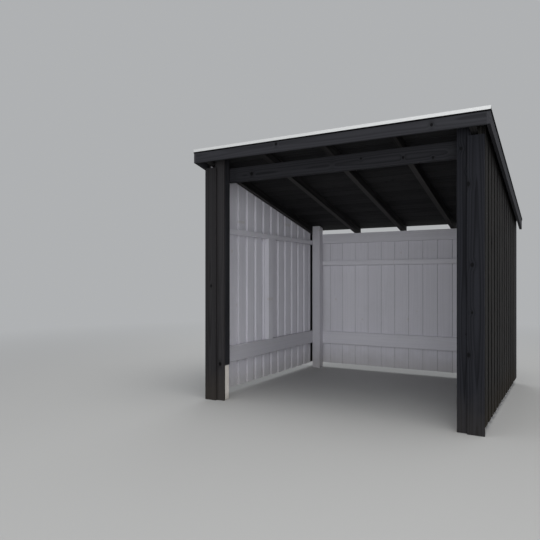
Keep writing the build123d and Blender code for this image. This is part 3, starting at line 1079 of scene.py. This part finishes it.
# The felt tucked under the flashing shows as a bare black strip, partly a painted shadow line under the
# flashing's lower edge.
tuck_top = flashing_high.z - FLASHING_FACE
section = rectangle((flashing_low.y + TUCK_CLEAR, tuck_top - TUCK_SHOWS), (fascia_low.y, tuck_top))
felt_tuck_and_shadow_line = carried(section, CROSSWISE, (low.x, 0, 0), (high.x, 0, 0), TUCK_ARRIS)
rear_top = high.z - FALL * (high.y - low.y) - FELT_THICKNESS / cos(ROOF_PITCH)
section = rectangle((high.y - FELT_THICKNESS, rear_top - FELT_LIP), (high.y, rear_top + LIP_OVERLAP))
lip = carried(section, CROSSWISE, (low.x, 0, 0), (high.x, 0, 0), FELT_ARRIS)


def mineral_felt():
    """Crushed slate bedded in bitumen: dark grains, some paler, with bare patches."""
    material, tree, shader = new_material("mineral_felt", specular=0.3)
    place = object_place(tree)
    grains = cells(place, 620.0)
    tint = red(grains["Color"])
    cloud = noise(place, 2.4, 5.0, 0.6)
    runs = noise(place, 1.0, 4.0, 0.6, (14.0, 0.9, 0.9))
    bitumen = attribute(tree, "bitumen")
    color = blended(ramp(tint, 0.45, 1.0), (0.026, 0.027, 0.030), (0.17, 0.17, 0.175))
    color = blended(ramp(cloud, 0.4, 0.75, 0.0, 0.5), color, (0.062, 0.060, 0.055))
    color = blended(ramp(runs, 0.52, 0.75, 0.0, 0.4), color, (0.095, 0.092, 0.084))
    color = blended(bitumen, color, (0.004, 0.004, 0.0045))
    feed(shader.inputs["Specular IOR Level"], ramp(bitumen, 0.0, 1.0, 0.3, 0.02))
    roughness = ramp(tint, 0.0, 1.0, 0.75, 0.95)
    height = ramp(grains["Distance"], 0.6, 0.0)
    finish(shader, color, roughness, height, depth=0.0009, strength=0.7)
    return material


def cut_edge(normal, centre):
    """The cut and turned-down edges of the felt show bare bitumen, and so does the felt tucked under the
    flashing, whose black strip is also a painted shadow line under the flashing's edge.
    """
    return (normal[:, 2] < FACING) | (centre[:, 1] < fascia_low.y)


put("felt", [felt, lip, felt_tuck_and_shadow_line], mineral_felt(), "roofing_felt", "roof_felt", bitumen=cut_edge)


# Clout nails
# Short galvanised nails with wide flat heads hold the felt down, close together along its
# edges and its laps.

CLOUT_RADIUS = 0.0048
CLOUT_RISE = 0.0009
CLOUT_SPACING = 0.075
CLOUT_INSET = 0.022
CLOUT_WANDER = 0.004
EAVES_WANDER = 0.003
ROW_ENDS = (0.14, 0.03)
EAVES_ENDS = (0.05, 0.04)
LAP_MIDDLE = 0.045
LAP_CLEAR = 0.09

low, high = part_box("roof_felt")
run = np.arange(low.y + ROW_ENDS[0], high.y - ROW_ENDS[1], CLOUT_SPACING)
rows = [(low.x + CLOUT_INSET, 0), (high.x - CLOUT_INSET, 0)]
rows += [(left_lap + CLOUT_INSET, LAP_STEP), (right_lap - CLOUT_INSET, LAP_STEP)]
places = []
for across, lift in rows:
    wander = random.uniform(-CLOUT_WANDER, CLOUT_WANDER, (2, len(run)))
    depth = run + wander[1]
    height = high.z - FALL * (depth - low.y) + lift / cos(ROOF_PITCH)
    places.append(np.stack([across + wander[0], depth, height], -1))
along = np.arange(low.x + EAVES_ENDS[0], high.x - EAVES_ENDS[1], CLOUT_SPACING)
depth = high.y - CLOUT_INSET + random.uniform(-EAVES_WANDER, EAVES_WANDER, len(along))
clear = np.abs(np.abs(along) - (right_lap - LAP_MIDDLE)) > LAP_CLEAR
places.append(np.stack([along, depth, high.z - FALL * (depth - low.y)], -1)[clear])
axes = ((1, 0, 0), DOWN_SLOPE[2], DOWN_SLOPE[0])
clouts = heads(np.concatenate(places), axes, CLOUT_RADIUS, CLOUT_RISE)
put("clout_nails", [clouts], galvanised, "flashing_metal")


# Front flashing
# A pale strip of sheet metal bent over the front edge: a face down the fascia, a raised nose
# that keeps rain on the roof, and a flange nailed to the felt. Two lengths lap in the middle.

GAUGE = 0.0006
NOSE_RISE = 0.010
RAMP_RUN = 0.045
FLANGE_RUN = 0.040
LAP_HALF = 0.03
SHEET_ARRIS = 0.0002

low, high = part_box("front_flashing")
face = low.y + 2 * GAUGE
ramp_end = face + RAMP_RUN
flange_end = ramp_end + FLANGE_RUN


def bent_sheet(layer):
    """Section of the flashing. Layer 0 lies on the felt and fascia, and layer 1 over it."""
    out = face - layer * GAUGE
    nose = high.z - (1 - layer) * GAUGE
    ramp_foot, flange_foot = (
        high.z - NOSE_RISE - FALL * (depth - face) + layer * GAUGE for depth in (ramp_end, flange_end)
    )
    outline = [
        (out - GAUGE, high.z - FLASHING_FACE), (out, high.z - FLASHING_FACE), (out, nose - GAUGE),
        (ramp_end, ramp_foot), (flange_end, flange_foot), (flange_end, flange_foot + GAUGE),
        (ramp_end, ramp_foot + GAUGE), (out, nose), (out - GAUGE, nose),
    ]
    return np.array(outline)


def pale_flashing():
    """Mill-finish sheet: pale, soft reflections along its length, faint scratches and dust."""
    material, tree, shader = new_material("pale_flashing", metallic=0.15)
    place = object_place(tree)
    brushed = noise(place, 1.0, 4.0, 0.6, (6.0, 900.0, 900.0))
    cloud = noise(place, 5.0, 4.0, 0.6)
    color = blended(cloud, (0.88, 0.88, 0.87), (0.78, 0.78, 0.77))
    color = blended(brushed * 0.15, color, (0.60, 0.60, 0.60))
    roughness = ramp(brushed, 0.2, 0.8, 0.36, 0.55)
    finish(shader, color, roughness, brushed + cloud * 3.0, depth=0.0004, strength=0.4)
    return material


lengths = [
    carried(bent_sheet(0), CROSSWISE, (low.x, 0, 0), (LAP_HALF, 0, 0), SHEET_ARRIS),
    carried(bent_sheet(1), CROSSWISE, (-LAP_HALF, 0, 0), (high.x, 0, 0), SHEET_ARRIS),
]
put("flashing", lengths, pale_flashing(), "flashing_metal", "front_flashing")


# Floor, light and camera
# A plain pale floor and soft light. The camera stands where the photograph was taken from,
# level, with the picture shifted up a little.

FOCAL_PIXELS = 538.0
PICTURE_PIXELS = 540.0
SENSOR = 36.0
CAMERA_PLACE = (1.6367, -4.7356, 1.0202)
CAMERA_TURN = radians(29.693)
HORIZON_BELOW_MIDDLE = 9.51
FLOOR_REACH = 60.0
FLOOR_COLOR = (0.47, 0.467, 0.455, 1)
FLOOR_ROUGHNESS = 0.9
BACKDROP_COLOR = (0.43, 0.44, 0.45, 1)
FADE = (2.6, 9.0)
SKY_COLOR = (0.92, 0.95, 1.0, 1)
SKY_STRENGTH = 0.56


def seen_directly(tree):
    """1 on rays from the camera, and on those that metal and glass send on, else 0."""
    path = node(tree, "ShaderNodeLightPath")
    direct = calc("MAXIMUM", path["Is Camera Ray"], path["Is Glossy Ray"])
    return calc("MAXIMUM", direct, path["Is Transmission Ray"])


floor_mesh = bpy.data.meshes.new("floor")
corners = rectangle((-FLOOR_REACH, -FLOOR_REACH), (FLOOR_REACH, FLOOR_REACH))
floor_mesh.from_pydata([(*corner, 0) for corner in corners], [], [(0, 1, 2, 3)])
floor = bpy.data.objects.new("floor", floor_mesh)
bpy.context.scene.collection.objects.link(floor)
floor_material, tree, shader = new_material("pale_floor", specular=0.1)
finish(shader, FLOOR_COLOR, FLOOR_ROUGHNESS)
distance = vector_calc("LENGTH", object_place(tree))
share = ramp(distance, *FADE) * seen_directly(tree)
far_off = node(tree, "ShaderNodeEmission", {"Color": BACKDROP_COLOR})[0]
mixed = node(tree, "ShaderNodeMixShader", {0: share, 1: Value(shader.outputs[0]), 2: far_off})[0]
feed(tree.nodes["Material Output"].inputs["Surface"], mixed)
floor_mesh.materials.append(floor_material)

world = bpy.data.worlds.new("studio")
bpy.context.scene.world = world
world.use_nodes = True
tree = world.node_tree
tree.nodes.clear()
lighting = node(tree, "ShaderNodeBackground", {"Color": SKY_COLOR, "Strength": SKY_STRENGTH})[0]
seen = node(tree, "ShaderNodeBackground", {"Color": BACKDROP_COLOR, "Strength": 1.0})[0]
chosen = node(tree, "ShaderNodeMixShader", {0: seen_directly(tree), 1: lighting, 2: seen})[0]
node(tree, "ShaderNodeOutputWorld", {0: chosen})


def soft_light(name, place, target, size, power, color):
    """A square area light that points at a target."""
    lamp = bpy.data.lights.new(name, "AREA")
    lamp.size = size
    lamp.energy = power
    lamp.color = color
    light = bpy.data.objects.new(name, lamp)
    offset = Vector(target) - Vector(place)
    light.rotation_euler = offset.to_track_quat("-Z", "Y").to_euler()
    light.location = place
    bpy.context.scene.collection.objects.link(light)


soft_light("key", (2.0, -2.0, 8.2), (0, 0, 0), 5.0, 275.0, (1.0, 0.985, 0.96))
soft_light("fill", (2.5, -6.5, 1.7), (0, 0, 1.2), 4.0, 128.0, (0.96, 0.98, 1.0))
soft_light("rear", (-3.0, 6.0, 4.6), (0, 0.5, 1.0), 4.0, 115.0, (0.96, 0.98, 1.0))

lens = bpy.data.cameras.new("camera")
lens.sensor_width = SENSOR
lens.lens = FOCAL_PIXELS / PICTURE_PIXELS * SENSOR
lens.shift_y = HORIZON_BELOW_MIDDLE / PICTURE_PIXELS
camera = bpy.data.objects.new("camera", lens)
camera.location = CAMERA_PLACE
camera.rotation_euler = (pi / 2, 0, CAMERA_TURN)
bpy.context.scene.collection.objects.link(camera)
bpy.context.scene.camera = camera
bpy.context.scene.view_settings.view_transform = "Standard"
